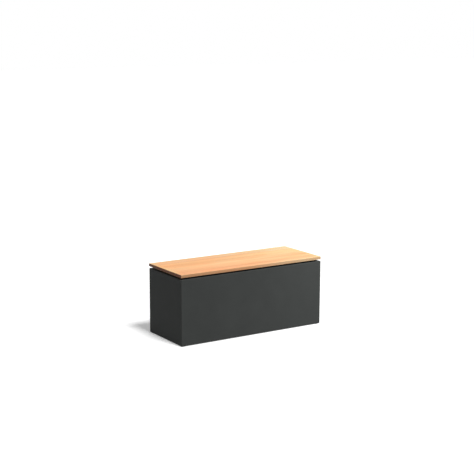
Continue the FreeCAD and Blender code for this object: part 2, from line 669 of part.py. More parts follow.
def make_lid():
    """The board, its frame, its seal and the screws between them."""
    board = new_body("lid_board")
    prism(board, "z", "board_low", "box_height",
          [rectangle(mirrored("half_length"), "half_length", "front", "board_rear")])
    dress(board, "Fillet", "board_edge", every_edge(board))
    pilots = holes(FRAME_SCREWS + BRACKET_SCREWS, "wood_screw", "thread_clear")
    pilots += holes(HINGE_SCREWS, "bolt", "thread_clear")
    prism(board, "z", "board_low - overrun", "board_low + wood_screw_depth + thread_clear",
          circles=pilots, cut=True)

    frame = new_body("lid_frame")
    inner_half = "frame_half - bar_width"
    inner_front = "frame_front + bar_width"
    inner_rear = "frame_rear - bar_width"
    cross_out = "window_half + bar_width"
    outline = rectangle(mirrored("frame_half"), "frame_half", "frame_front", "frame_rear")
    windows = [
        rectangle(mirrored(inner_half), mirrored(cross_out), inner_front, inner_rear),
        rectangle(mirrored("window_half"), "window_half", inner_front, inner_rear),
        rectangle(cross_out, inner_half, inner_front, inner_rear),
    ]
    prism(frame, "z", "frame_low", "board_low", [outline] + windows)
    prism(frame, "z", "frame_low - overrun", "board_low + overrun",
          circles=holes(FRAME_SCREWS, "wood_screw", "hole_clear"), cut=True)
    rims = circle_edges(frame, "z", "frame_low", "wood_screw + 2 * hole_clear")
    dress(frame, "Chamfer", "(wood_screw_head - wood_screw) / 2", rims)
    make_wood_screws("lid_frame_screws", FRAME_SCREWS, "frame_low", "wood_screw_head", "wood_screw")

    seal = new_body("lid_seal")
    hole = rectangle(mirrored("frame_half - seal_width"), "frame_half - seal_width",
                     "frame_front + seal_width", "frame_rear - seal_width")
    prism(seal, "z", "body_top", "frame_low", [outline, hole])


def make_lid_bracket(side, sign):
    """Angle bracket under the board that carries the upper end of a strut."""
    body = new_body(f"strut_lid_bracket_{side}")
    face = f"{sign} * bracket_face"
    back = f"{sign} * (bracket_face - bracket_thick)"
    foot = f"{sign} * (bracket_face - bracket_foot)"
    low = "board_low - bracket_thick"
    front_y = "lid_end_y - bracket_half"
    rear_y = "lid_end_y + bracket_half"
    left, right = (back, face) if sign > 0 else (face, back)
    tip = [(front_y, "board_low"), ("lid_end_y - bracket_tip", "lid_end_z - bracket_tip"),
           ("lid_end_y + bracket_tip", "lid_end_z - bracket_tip"), (rear_y, "board_low")]
    prism(body, "x", left, right, [tip])
    corners = [("x", f"lid_end_y {way} bracket_tip", "lid_end_z - bracket_tip") for way in "+-"]
    dress(body, "Fillet", "bracket_tip_radius", straight_edges(body, corners))
    ends = (foot, face) if sign > 0 else (face, foot)
    prism(body, "z", low, "board_low", [rectangle(*ends, front_y, rear_y)])
    dress(body, "Fillet", "bend_radius", straight_edges(body, [("y", face, "board_low")]))
    places = [place for place in BRACKET_SCREWS if place[0].startswith("-") == (sign < 0)]
    prism(body, "z", f"{low} - overrun", "board_low + overrun",
          circles=holes(places, "wood_screw", "hole_clear"), cut=True)
    dress(body, "Chamfer", "(wood_screw_head - wood_screw) / 2",
          circle_edges(body, "z", low, "wood_screw + 2 * hole_clear"))
    prism(body, "x", f"{left} - overrun", f"{right} + overrun",
          circles=holes([("lid_end_y", "lid_end_z")], "stud_neck", "thread_clear"), cut=True)


def make_body_bracket(side, sign):
    """Hat-section bracket on the end wall that carries the lower end of a strut."""
    body = new_body(f"strut_body_bracket_{side}")
    wall = f"{sign} * wall_inside"
    flange = f"{sign} * hat_flange_face"
    face = f"{sign} * hat_face"
    back = f"{sign} * (hat_face + hat_thick)"
    low_end, high_end = ("body_end_z - hat_flange_half", "body_end_z + hat_flange_half")
    low_leg, high_leg = ("body_end_z - hat_bridge_half", "body_end_z + hat_bridge_half")
    low_in, high_in = (f"{low_leg} + hat_thick", f"{high_leg} - hat_thick")
    hat = [(wall, low_end), (flange, low_end), (flange, low_leg), (face, low_leg),
           (face, high_leg), (flange, high_leg), (flange, high_end), (wall, high_end),
           (wall, high_in), (back, high_in), (back, low_in), (wall, low_in)]
    front_y = "body_end_y - hat_half"
    rear_y = "body_end_y + hat_half"
    prism(body, "y", front_y, rear_y, [hat])
    folds = [("y", face, low_leg), ("y", face, high_leg)]
    dress(body, "Fillet", "bend_radius", straight_edges(body, folds))
    prism(body, "x", *sorted_ends(sign, "hat_flange_face - overrun", "wall_inside + overrun"),
          circles=holes(WELD_STUDS, "bolt", "hole_clear"), cut=True)
    prism(body, "x", *sorted_ends(sign, "hat_face - overrun", "hat_face + hat_thick + overrun"),
          circles=holes([("body_end_y", "body_end_z")], "stud_neck", "thread_clear"), cut=True)


def make_weld_studs():
    """Weld studs on the end walls and the nuts that hold the body brackets."""
    studs = new_body("bracket_weld_studs", group=True)
    nuts = new_body("bracket_nuts", group=True)
    for sign in SIDES.values():
        prism(studs, "x", *sorted_ends(sign, "wall_inside - weld_stud_length", "wall_inside"),
              circles=[(*place, "bolt") for place in WELD_STUDS])
        hexagons(nuts, "x", *sorted_ends(sign, "hat_flange_face - nut_thick", "hat_flange_face"),
                 WELD_STUDS, "nut_flats", "bolt + 2 * thread_clear")


def make_ball_stud(label, y, z, sign, face, plate, toward):
    """A ball stud riveted through a plate, its ball in the plane of the strut."""
    body = new_body(label)
    spin = FreeCAD.Rotation(FreeCAD.Vector(0, 1, 0), 90 * sign * toward)
    body.Placement = FreeCAD.Placement(FreeCAD.Vector(0, 0, 0), spin)
    body.setExpression("Placement.Base.x", bound(f"{sign} * strut_plane"))
    body.setExpression("Placement.Base.y", bound(y))
    body.setExpression("Placement.Base.z", bound(z))
    root = f"-({face})"
    head = f"{root} - {plate} - stud_head_thick"
    turn(body, [("0", head), ("stud_head / 2", head), ("stud_head / 2", f"{root} - {plate}"),
                ("stud_neck / 2", f"{root} - {plate}"), ("stud_neck / 2", root),
                ("stud_collar / 2", root), ("stud_collar / 2", f"{root} + stud_collar_thick"),
                ("stud_neck / 2", f"{root} + stud_collar_thick"), ("stud_neck / 2", "0"), ("0", "0")])
    round_ball(body, "ball")


def make_socket(label, y, z, sign, angle, open_side):
    """A ball socket whose neck takes the threaded end of the barrel or the rod."""
    body = new_body(label)
    set_along_strut(body, y, z, sign, angle)
    closed = "-socket_back" if open_side > 0 else "socket_back - socket_depth"
    prism(body, "x", closed, f"{closed} + socket_depth", circles=[("0", "0", "socket_width")])
    prism(body, "z", "0", "socket_reach", circles=[("0", "0", "socket_neck")])
    rims = circle_edges(body, "z", "socket_reach", "socket_neck")
    for level in (closed, f"{closed} + socket_depth"):
        rims += circle_edges(body, "x", level, "socket_width")
    dress(body, "Chamfer", "socket_edge", rims)
    round_ball(body, "ball + 2 * ball_clear", cut=True, seam_turn=180 if open_side > 0 else 0)
    mouth = ("0", "socket_depth") if open_side > 0 else ("-socket_depth", "0")
    prism(body, "x", *mouth, circles=[("0", "0", "socket_mouth")], cut=True)
    prism(body, "z", "socket_reach - strut_thread_length - thread_clear", "socket_reach + overrun",
          circles=holes([("0", "0")], "strut_thread", "thread_clear"), cut=True)


def set_along_strut(body, y, z, sign, angle):
    """Place a piece at a strut end with its Z axis along the strut."""
    about_x = FreeCAD.Rotation(FreeCAD.Vector(1, 0, 0), 90)
    body.Placement = FreeCAD.Placement(FreeCAD.Vector(0, 0, 0), about_x)
    body.setExpression("Placement.Base.x", bound(f"{sign} * strut_plane"))
    body.setExpression("Placement.Base.y", bound(y))
    body.setExpression("Placement.Base.z", bound(z))
    body.setExpression("Placement.Rotation.Angle", bound(angle))


def make_strut(side, sign):
    """A gas strut: barrel, guide, piston rod, piston and the sockets at both ends."""
    low_end = ("body_end_y", "body_end_z", sign, f"{STRUT_ANGLE} - 90 deg")
    high_end = ("lid_end_y", "lid_end_z", sign, f"{STRUT_ANGLE} + 90 deg")
    make_ball_stud(f"strut_lid_stud_{side}", "lid_end_y", "lid_end_z", sign,
                   "bracket_offset", "bracket_thick", 1)
    make_ball_stud(f"strut_body_stud_{side}", "body_end_y", "body_end_z", sign,
                   "hat_offset", "hat_thick", -1)
    make_socket(f"strut_body_socket_{side}", *low_end, sign)
    make_socket(f"strut_rod_socket_{side}", *high_end, -sign)

    barrel = new_body(f"strut_barrel_{side}")
    set_along_strut(barrel, *low_end)
    inside = "socket_reach + barrel_bottom"
    lip = "barrel_reach - barrel_lip"
    thread_low = "socket_reach - strut_thread_length"
    turn(barrel, [("0", thread_low), ("strut_thread / 2", thread_low),
                  ("strut_thread / 2", "socket_reach"), ("barrel_width / 2", "socket_reach"),
                  ("barrel_width / 2", "barrel_reach"), ("barrel_lip_bore / 2", "barrel_reach"),
                  ("barrel_lip_bore / 2", lip), ("barrel_bore / 2", lip),
                  ("barrel_bore / 2", inside), ("0", inside)])
    rims = circle_edges(barrel, "z", "socket_reach", "barrel_width")
    rims += circle_edges(barrel, "z", "barrel_reach", "barrel_width")
    dress(barrel, "Fillet", "barrel_lip / 2", rims)

    guide = new_body(f"strut_guide_{side}")
    set_along_strut(guide, *low_end)
    guide_high = f"{lip} - fit_clear"
    guide_low = f"{guide_high} - guide_length"
    turn(guide, [("rod_width / 2 + fit_clear", guide_low), ("barrel_bore / 2 - fit_clear", guide_low),
                 ("barrel_bore / 2 - fit_clear", guide_high), ("rod_width / 2 + fit_clear", guide_high)])

    rod = new_body(f"strut_rod_{side}")
    set_along_strut(rod, *high_end)
    seat = "rod_reach - piston_length"
    turn(rod, [("0", thread_low), ("strut_thread / 2", thread_low),
               ("strut_thread / 2", "socket_reach"), ("rod_width / 2", "socket_reach"),
               ("rod_width / 2", seat), ("piston_seat / 2", seat),
               ("piston_seat / 2", "rod_reach"), ("0", "rod_reach")])

    piston = new_body(f"strut_piston_{side}")
    set_along_strut(piston, *high_end)
    turn(piston, [("piston_seat / 2 + thread_clear", seat), ("barrel_bore / 2 - fit_clear", seat),
                  ("barrel_bore / 2 - fit_clear", "rod_reach"),
                  ("piston_seat / 2 + thread_clear", "rod_reach")])


make_front_wrap()
make_back_panel()
make_base_panel()
make_base_rivets()
make_back_screws()
make_feet()
make_lid()
make_hinges()
make_weld_studs()
for side, sign in SIDES.items():
    make_lid_bracket(side, sign)
    make_body_bracket(side, sign)
    make_strut(side, sign)
make_wood_screws("bracket_screws", BRACKET_SCREWS, "board_low - bracket_thick",
                 "wood_screw_head", "wood_screw")

doc.recompute()
for item in doc.Objects:
    if "Invalid" in item.State or "Error" in item.State:
        raise RuntimeError(f"{item.Label} did not build: {item.State}")
os.makedirs("parts", exist_ok=True)
for body in pieces:
    shape = body.Shape
    if shape.isNull() or not shape.isValid() or not shape.Solids:
        raise RuntimeError(f"{body.Label} has no valid solid")
    shape.exportStep(f"parts/{body.Label}.step")
    box = shape.BoundBox
    print(f"{body.Label}: {len(shape.Solids)} solids, {shape.Volume:.0f} mm3, "
          f"x {box.XMin:.1f}..{box.XMax:.1f}, y {box.YMin:.1f}..{box.YMax:.1f}, "
          f"z {box.ZMin:.1f}..{box.ZMax:.1f}")
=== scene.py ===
# Storage seat box: how its powder coat, oiled wood, plated steel and rubber look.
# Lengths are in metres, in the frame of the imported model.
import collections
import json
import math

import bmesh
import bpy
from mathutils import Matrix, Quaternion, Vector


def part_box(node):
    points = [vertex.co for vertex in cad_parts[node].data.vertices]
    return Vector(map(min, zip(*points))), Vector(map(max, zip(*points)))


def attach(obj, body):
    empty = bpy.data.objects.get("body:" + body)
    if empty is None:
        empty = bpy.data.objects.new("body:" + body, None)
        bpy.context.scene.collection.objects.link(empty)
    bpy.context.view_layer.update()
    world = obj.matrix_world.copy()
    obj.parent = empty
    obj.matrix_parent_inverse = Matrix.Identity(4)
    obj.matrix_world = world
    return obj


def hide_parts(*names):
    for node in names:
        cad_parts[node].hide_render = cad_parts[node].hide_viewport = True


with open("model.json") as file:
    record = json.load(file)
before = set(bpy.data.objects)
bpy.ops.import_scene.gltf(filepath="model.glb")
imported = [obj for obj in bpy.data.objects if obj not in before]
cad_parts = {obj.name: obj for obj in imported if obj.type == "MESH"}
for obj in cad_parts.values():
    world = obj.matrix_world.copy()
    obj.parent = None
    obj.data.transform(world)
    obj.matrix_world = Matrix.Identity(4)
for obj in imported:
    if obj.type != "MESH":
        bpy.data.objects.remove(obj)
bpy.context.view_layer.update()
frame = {"nodes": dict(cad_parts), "record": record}

NODES = frame["nodes"]
BOARD_LOW, BOARD_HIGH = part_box("lid_board")
BOARD_DEPTH = BOARD_HIGH.y - BOARD_LOW.y
BOARD_MIDDLE = (BOARD_LOW + BOARD_HIGH) / 2

# How the pieces are made: which way they face, and how fine and how exact their shapes are.
UP, DOWN, REAR, ALONG = (Vector(way) for way in ((0, 0, 1), (0, 0, -1), (0, 1, 0), (1, 0, 0)))
SAME_POINT = 1e-6
NEARLY_FLAT = 0.99
ROUND_SIDES = 40
ROUND_SEGMENTS = 6
HEXAGON_TURN = math.pi / 6
FLAT_ANGLE = math.radians(32)
THREAD_STEPS = 24
SPARE_TURNS = 2
WINDING_GAP = 0.00001

# Fasteners and seal, where the boxes of their nodes don't give the size.
WOOD_SHANK = 0.004
BOLT_WIDTH = 0.005
BOLT_PITCH = 0.0008
BUTTON_THICK = 0.00275
BUTTON_DOME = 0.0021
HEX_KEY = 0.003
HEX_KEY_DEPTH = 0.0017
NUT_CHAMFER = 0.0005
NUT_FACE_SHARE = 0.82
BOLT_BORE = 0.0051
CROSS_SPAN_SHARE = 0.56
CROSS_DEPTH_SHARE = 0.24
CROSS_ARM_SHARE = 0.24
CROSS_TAPER = 0.3
POINT_SHARE = 0.1
FOOT_PITCH = 0.00125
FOOT_BORE = 0.0081
THREAD_DEPTH_SHARE = 0.7
SEAL_WIDTH = 0.010
SEAL_ROUND = 0.0024

# The camera that the straight edges of the photograph give.
PHOTO_SIDE = 474
FOCAL_PIXELS = 1175.5
ORIGIN_PIXEL = (235.88, 327.68)
CAMERA_AZIMUTH = math.radians(-32.69)
CAMERA_PITCH = math.radians(10.93)
CAMERA_ROLL = math.radians(0.147)
CAMERA_DISTANCE = 7.281
SENSOR_MM = 36
CAMERA_REACH = 100

# The light stands high in front, a little to the right, and throws a short soft shadow behind.
SUN_FROM = Vector((0.031, -0.236, 0.438))
SUN_STRENGTH = 2.95
SUN_WIDTH = math.radians(14)
SUN_DISTANCE = 10
SKY_STRENGTH = 0.225
SKY_SEEN = 1.0
FLOOR_SIZE = 60
FLOOR_SEEN = 0.8
FLOOR_BOUNCE = 0.34
FLOOR_GLOW = 0.28
BLACK, WHITE = (0, 0, 0, 1), (1, 1, 1, 1)


def grey(level):
    """A colour with the same level of red, green and blue."""
    return (level, level, level, 1)


def to_linear(red, green, blue):
    """The linear colour of three screen values from 0 to 255."""
    shares = [value / 255 for value in (red, green, blue)]
    return tuple(s / 12.92 if s <= 0.04045 else ((s + 0.055) / 1.055) ** 2.4 for s in shares) + (1,)


def deselect():
    """Leave edit mode with nothing selected, so that an operator acts on new things alone."""
    if bpy.context.object and bpy.context.object.mode == "EDIT":
        bpy.ops.object.mode_set(mode="OBJECT")
    bpy.ops.object.select_all(action="DESELECT")


def place(tree, kind, inputs=None, **settings):
    """Add a shader node, set it up and feed its sockets with values or other sockets."""
    item = tree.nodes.new("ShaderNode" + kind)
    for name, value in settings.items():
        setattr(item, name, value)
    for name, value in (inputs or {}).items():
        if isinstance(value, bpy.types.NodeSocket):
            tree.links.new(value, item.inputs[name])
        else:
            item.inputs[name].default_value = value
    return item


def calc(tree, operation, *values):
    """One step of arithmetic on values and sockets."""
    return place(tree, "Math", dict(enumerate(values)), operation=operation).outputs[0]


def fade(tree, value, low, high, start=0.0, end=1.0):
    """Carry a value smoothly from start to end while it runs from low to high."""
    inputs = {"Value": value, "From Min": low, "From Max": high, "To Min": start, "To Max": end}
    return place(tree, "MapRange", inputs, interpolation_type="SMOOTHSTEP").outputs["Result"]


def mix(tree, share, one, other, how="MIX"):
    """Mix two colours by a share; the node takes them at its places 6 and 7 and gives at place 2."""
    item = place(tree, "Mix", {0: share, 6: one, 7: other}, data_type="RGBA", blend_type=how)
    return item.outputs[2]


def stretched(tree, point, scale):
    """Coordinates scaled by a different amount along each axis."""
    return place(tree, "Mapping", {"Vector": point, "Scale": scale}).outputs[0]


def scaled(colour, factor, lift=0.0):
    """A plain colour made lighter or darker."""
    return tuple(min(1, channel * factor + lift) for channel in colour[:3]) + (1,)


def noise(tree, point, scale=1.0, detail=2.0, roughness=0.5):
    """Cloudy noise from 0 to 1."""
    inputs = {"Vector": point, "Scale": scale, "Detail": detail, "Roughness": roughness}
    return place(tree, "TexNoise", inputs).outputs[0]


def steps(tree, value, stops):
    """A stepped colour ramp; stops are (share, colour)."""
    item = place(tree, "ValToRGB", {"Fac": value})
    item.color_ramp.interpolation = "CONSTANT"
    elements = item.color_ramp.elements
    while len(elements) < len(stops):
        elements.new(1)
    for element, (share, colour) in zip(elements, stops):
        element.position = share
        element.color = colour
    return item.outputs[0]


def new_group(name, takes, kind, gives):
    """Start a node group that takes one value of a kind and gives several plain ones."""
    group = bpy.data.node_groups.new(name, "ShaderNodeTree")
    group.interface.new_socket(takes, in_out="INPUT", socket_type="NodeSocket" + kind)
    for label in gives:
        group.interface.new_socket(label, in_out="OUTPUT", socket_type="NodeSocketFloat")
    given = group.nodes.new("NodeGroupInput").outputs
    result = group.nodes.new("NodeGroupOutput").inputs
    return group, given, result


def finish_group(group, result, **sockets):
    """Join the sockets to the group's outputs of the same names."""
    for name, socket in sockets.items():
        group.links.new(socket, result[name])
    return group


# The fine relief of the finishes, in steps to the metre, and how much of a tone its clouds make up.
CLOUDS = 9.0
WORN_SPOTS = 55.0
PATCHES = 60.0
LINE_BREAKS = 18.0
CLOUD_SHARE = 0.25

# An edge starts and ends where its rounded normal has turned this far from the face's, as a cosine.
FLAT_FACE, SHARP_EDGE = 0.995, 0.86
EDGE_SAMPLES = 6


def pebble_group():
    """The fine pebbled skin of a powder coat."""
    group, given, result = new_group("pebbled_coat", "Size", "Float", gives=("Height", "Tone"))
    point = place(group, "TexCoord").outputs["Object"]
    scale = calc(group, "DIVIDE", 1.0, given["Size"])
    pebbles = noise(group, point, scale, roughness=0.55)
    clouds = noise(group, point, CLOUDS, detail=3.0)
    tone = calc(group, "ADD", calc(group, "MULTIPLY", pebbles, 1 - CLOUD_SHARE),
                calc(group, "MULTIPLY", clouds, CLOUD_SHARE))
    return finish_group(group, result, Height=pebbles, Tone=tone)


def edge_wear_and_highlight_group():
    """A mask of outer and inner edges, broken up in spots, for edges that handling wears and for painted
    edge highlights.
    """
    group, given, result = new_group("edge_wear_and_highlight_mask", "Width", "Float", gives=("Mask",))
    rounded = place(group, "Bevel", {"Radius": given["Width"]}, samples=EDGE_SAMPLES).outputs[0]
    flat = place(group, "NewGeometry").outputs["Normal"]
    along = place(group, "VectorMath", {0: rounded, 1: flat}, operation="DOT_PRODUCT").outputs["Value"]
    edge = fade(group, along, FLAT_FACE, SHARP_EDGE)
    point = place(group, "TexCoord").outputs["Object"]
    broken = fade(group, noise(group, point, WORN_SPOTS, detail=4.0, roughness=0.65), 0.38, 0.66)
    return finish_group(group, result, Mask=calc(group, "MULTIPLY", edge, broken))


def drawn_group():
    """Fine lines along X, as rolling and brushing leave them on bar and strip."""
    group, given, result = new_group("drawn_lines", "Lines", "Float", gives=("Height", "Tone"))
    point = place(group, "TexCoord").outputs["Object"]
    scale = place(group, "CombineXYZ", {0: LINE_BREAKS, 1: given["Lines"], 2: given["Lines"]}).outputs[0]
    lines = noise(group, stretched(group, point, scale), roughness=0.6)
    patches = noise(group, point, PATCHES, detail=3.0, roughness=0.6)
    return finish_group(group, result, Height=lines, Tone=patches)


# How the tree grew: its rings to the metre, where its pith lay, and how fine the grain is along X, Y
# and Z, in steps to the metre.
RINGS_A_METRE = 290.0
RING_WAVER = 9.0
LATE_WOOD_POWER = 2.6
TREE_SHIFT = (37.0, 5.3, 2.9)
PITH_ACROSS = 0.21
PITH_LOW = 0.39
PITH_RISE = 0.11
STAVE_LEAN = 0.06
WAVER_SCALE = (1.6, 9.0, 9.0)
STREAK_SCALE = (1.3, 46.0, 30.0)
FIBRE_SCALE = (26.0, 1700.0, 1700.0)
PORE_SCALE = (90.0, 3100.0, 3100.0)
STAIN_SCALE = (4.0, 13.0, 13.0)


def grain_group():
    """Growth rings, fibres and pores of one stave, in object coordinates.

    Card holds three shares of the stave: its shift along the tree, and where the pith lay across
    and above it.
    """
    group, given, result = new_group("wood_grain", "Card", "Vector",
                                     gives=("Rings", "Streaks", "Fibres", "Pores"))
    point = place(group, "TexCoord").outputs["Object"]
    card = place(group, "SeparateXYZ", {0: given["Card"]}).outputs
    shift = place(group, "CombineXYZ", {axis: calc(group, "MULTIPLY", card[0], reach)
                                        for axis, reach in enumerate(TREE_SHIFT)}).outputs[0]
    moved = place(group, "VectorMath", {0: point, 1: shift}, operation="ADD").outputs[0]

    waver = noise(group, stretched(group, moved, WAVER_SCALE), roughness=0.45)
    spot = place(group, "SeparateXYZ", {0: point}).outputs
    lean = calc(group, "MULTIPLY", spot["X"],
                calc(group, "MULTIPLY_ADD", card[0], 2 * STAVE_LEAN, -STAVE_LEAN))
    across = calc(group, "MULTIPLY_ADD", card[1], -2 * PITH_ACROSS,
                  calc(group, "ADD", spot["Y"], PITH_ACROSS))
    above = calc(group, "MULTIPLY_ADD", card[2], -PITH_RISE, calc(group, "ADD", spot["Z"], -PITH_LOW))
    leaning = calc(group, "ADD", across, lean)
    from_pith = calc(group, "SQRT", calc(group, "ADD", calc(group, "POWER", leaning, 2.0),
                                        calc(group, "POWER", above, 2.0)))
    wavering = calc(group, "MULTIPLY", waver, RING_WAVER)
    rings = calc(group, "MULTIPLY_ADD", from_pith, RINGS_A_METRE, wavering)
    late = calc(group, "POWER", calc(group, "FRACT", rings), LATE_WOOD_POWER)

    streaks = noise(group, stretched(group, moved, STREAK_SCALE), detail=4.0, roughness=0.55)
    fibres = noise(group, stretched(group, moved, FIBRE_SCALE), roughness=0.6)
    cells = noise(group, stretched(group, moved, PORE_SCALE), detail=1.0)
    pores = fade(group, cells, 0.60, 0.72)
    return finish_group(group, result, Rings=late, Streaks=streaks, Fibres=fibres, Pores=pores)


GROUPS = {
    "pebbles": pebble_group(),
    "wear_and_highlight": edge_wear_and_highlight_group(),
    "drawn": drawn_group(),
    "grain": grain_group(),
}


def apply_group(tree, name, **inputs):
    """Use one of the groups with its own values."""
    return place(tree, "Group", inputs, node_tree=GROUPS[name]).outputs


def new_material(name, specular, metallic=0.0):
    """Start a material; gives it, its tree and its shader."""
    material = bpy.data.materials.new(name)
    material.use_nodes = True
    tree = material.node_tree
    shader = tree.nodes["Principled BSDF"]
    shader.inputs["Specular IOR Level"].default_value = specular
    shader.inputs["Metallic"].default_value = metallic
    return material, tree, shader


def feed(tree, shader, **sockets):
    """Join sockets to the shader's inputs; an underscore stands for a blank."""
    for name, socket in sockets.items():
        tree.links.new(socket, shader.inputs[name.replace("_", " ")])


def bumped(tree, height, distance, strength):
    """A normal from a height."""
    inputs = {"Height": height, "Distance": distance, "Strength": strength}
    return place(tree, "Bump", inputs).outputs[0]


# How far in from an edge each finish is worn, or on the wood lit by a painted highlight (the coat's
# edge is both), and how deep its relief is, in metres.
COAT_WEAR_AND_HIGHLIGHT, COAT_RELIEF = 0.0012, 0.00006
WOOD_ARRIS_WIDTH, WOOD_RELIEF = 0.0042, 0.00006
PLATING_WEAR, PLATING_RELIEF = 0.0006, 0.00002
PLASTIC_WEAR, PLASTIC_RELIEF = 0.0005, 0.00003
GLOSS_WEAR, GLOSS_RELIEF = 0.0008, 0.00005
RUBBER_RELIEF = 0.00008
CHROME_RELIEF = 0.00001

# How rough each finish is where its tone is lowest and highest; for wood, between and on its rings.
COAT_ROUGH = (0.48, 0.63)
WOOD_ROUGH = (0.56, 0.44)
RUBBER_ROUGH = (0.62, 0.82)
GLOSS_ROUGH = (0.24, 0.40)
CHROME_ROUGH = (0.07, 0.20)

# How much darker and lighter the colours get, how much of the wear shows (on the coat, wear and a painted
# edge highlight), and the tones of the rubber and the chrome.
COAT_DARK, COAT_LIGHT, COAT_WEAR_AND_HIGHLIGHT_SHARE = 0.88, 1.14, 0.5
PLATING_DULL, PLATING_BRIGHT = 0.72, 1.25
PLASTIC_LIGHT, PLASTIC_WORN_SHARE = 1.3, 0.4
GLOSS_LIGHT = 1.5
BLACK_LIFT = 0.004
BLACK_RUBBER, BLOOMED_RUBBER = (0.012, 0.012, 0.013, 1), (0.034, 0.034, 0.036, 1)
BRIGHT_CHROME, OILED_CHROME = (0.74, 0.75, 0.77, 1), grey(0.62)


def powder_coat(name, colour, worn_and_lit_colour, size=0.0011):
    """Matt powder coat, slightly pebbled, lighter on its edges: partly thin coat, partly a painted
    highlight.
    """
    material, tree, shader = new_material(name, specular=0.04)
    coat = apply_group(tree, "pebbles", Size=size)
    wear_and_highlight = apply_group(tree, "wear_and_highlight", Width=COAT_WEAR_AND_HIGHLIGHT)["Mask"]
    toned = mix(tree, fade(tree, coat["Tone"], 0.3, 0.7),
                scaled(colour, COAT_DARK), scaled(colour, COAT_LIGHT))
    # Lighter edges: partly thin, worn coat, partly a painted highlight.
    worn_and_lit = calc(tree, "MULTIPLY", wear_and_highlight, COAT_WEAR_AND_HIGHLIGHT_SHARE)
    feed(tree, shader, Base_Color=mix(tree, worn_and_lit, toned, worn_and_lit_colour),
         Roughness=fade(tree, coat["Tone"], 0.25, 0.75, *COAT_ROUGH),
         Normal=bumped(tree, coat["Height"], COAT_RELIEF, strength=0.8))
    return material


Stave = collections.namedtuple("Stave", "start card tint paled")

# Each stave: the share of the depth where it starts, from the front, its card, its tint and how much
# of the painted sheen towards the right end of the bench it takes.
STAVES = [
    Stave(0.00, (0.13, 0.30, 0.62, 1), to_linear(235, 168, 118), 0.75),
    Stave(0.17, (0.71, 0.12, 0.35, 1), to_linear(241, 181, 129), 0.0),
    Stave(0.38, (0.42, 0.68, 0.81, 1), to_linear(245, 192, 139), 0.0),
    Stave(0.58, (0.93, 0.52, 0.28, 1), to_linear(238, 179, 123), 0.7),
    Stave(0.79, (0.27, 0.86, 0.55, 1), to_linear(235, 184, 137), 1.0),
]

# How wide a glue line is, from where to where the painted sheen brightens the board, and how wide
# the painted highlight along its rim is, how far that fades out and how ragged it is.
GLUE_LINE = 0.0006
SHEEN_FROM = BOARD_LOW.x * 0.3
SHEEN_UNTIL = BOARD_HIGH.x * 0.9
RIM_WIDTH = 0.035
RIM_FADE = 0.045
RIM_RAGGED = 0.08

# What each feature of the wood, and each painted sheen, highlight and shade on it, does to its red,
# green and blue, as factors.
# Painted sheen: the staves turn paler and yellower towards the right end, where light glances off them.
PAINTED_SHEEN = (1.0, 1.35, 1.56, 1)
DARK_STREAK, PALE_STREAK = (0.90, 0.83, 0.76, 1), (1.08, 1.10, 1.10, 1)
RED_STAIN, PALE_STAIN = (1.02, 0.95, 0.90, 1), (0.98, 1.05, 1.10, 1)
LATE_WOOD = (0.78, 0.62, 0.48, 1)
FIBRE = (0.84, 0.75, 0.66, 1)
PORE = (0.52, 0.38, 0.28, 1)
GLUE = (0.50, 0.36, 0.28, 1)
# Painted highlight: the rim of the board's top paler and yellower, as if the light catches it.
PAINTED_RIM_HIGHLIGHT = (1.01, 1.17, 1.19, 1)
# Painted shade, with a little of the oiled edge's own tone: the board's front and back faces darker than
# its top.
SHADED_LONG_EDGE = (0.63, 0.66, 0.76, 1)
END_GRAIN = (0.17, 0.08, 0.035, 1)

# How much of a feature shows, how far fibres stand up and pores sink in, and the painted highlight on the
# arris.
RING_SHARE, FIBRE_SHARE, PORE_SHARE, GLUE_SHARE = 0.42, 0.35, 0.45, 0.5
FIBRE_RISE, PORE_DROP = 0.5, 0.8
ARRIS_SHARE, ARRIS_HIGHLIGHT = 0.9, to_linear(254, 222, 186)

# How far a face has turned sideways where the board's edge or end grain starts and where it is full.
SIDEWAYS, SQUARE_ON = 0.55, 0.95


def stave_tint(tree, share, along):
    """The tint of the stave at a share of the depth, with a painted sheen paling it towards the right."""
    tint = steps(tree, share, [(stave.start, stave.tint) for stave in STAVES])
    paled = steps(tree, share, [(stave.start, grey(stave.paled)) for stave in STAVES])
    sheen_mask = calc(tree, "MULTIPLY", fade(tree, along, SHEEN_FROM, SHEEN_UNTIL), paled)
    return mix(tree, sheen_mask, tint, PAINTED_SHEEN, "MULTIPLY")


def glue_lines(tree, share):
    """A mask of the glue lines between the staves."""
    half = GLUE_LINE / 2 / BOARD_DEPTH
    stops = [(0.0, BLACK)]
    for stave in STAVES[1:]:
        stops += [(stave.start - half, WHITE), (stave.start + half, BLACK)]
    return steps(tree, share, stops)


def rim_highlight_mask(tree, spot, streaks):
    """A ragged mask of the rim of the board, where a highlight is painted paler and yellower."""
    from_end = calc(tree, "SUBTRACT", BOARD_HIGH.x, calc(tree, "ABSOLUTE", spot["X"]))
    off_middle = calc(tree, "ABSOLUTE", calc(tree, "SUBTRACT", spot["Y"], BOARD_MIDDLE.y))
    from_side = calc(tree, "SUBTRACT", BOARD_DEPTH / 2, off_middle)
    from_rim = calc(tree, "ADD", calc(tree, "MINIMUM", from_end, from_side), -RIM_WIDTH)
    return fade(tree, calc(tree, "MULTIPLY_ADD", streaks, RIM_RAGGED, from_rim), RIM_FADE, 0.0)


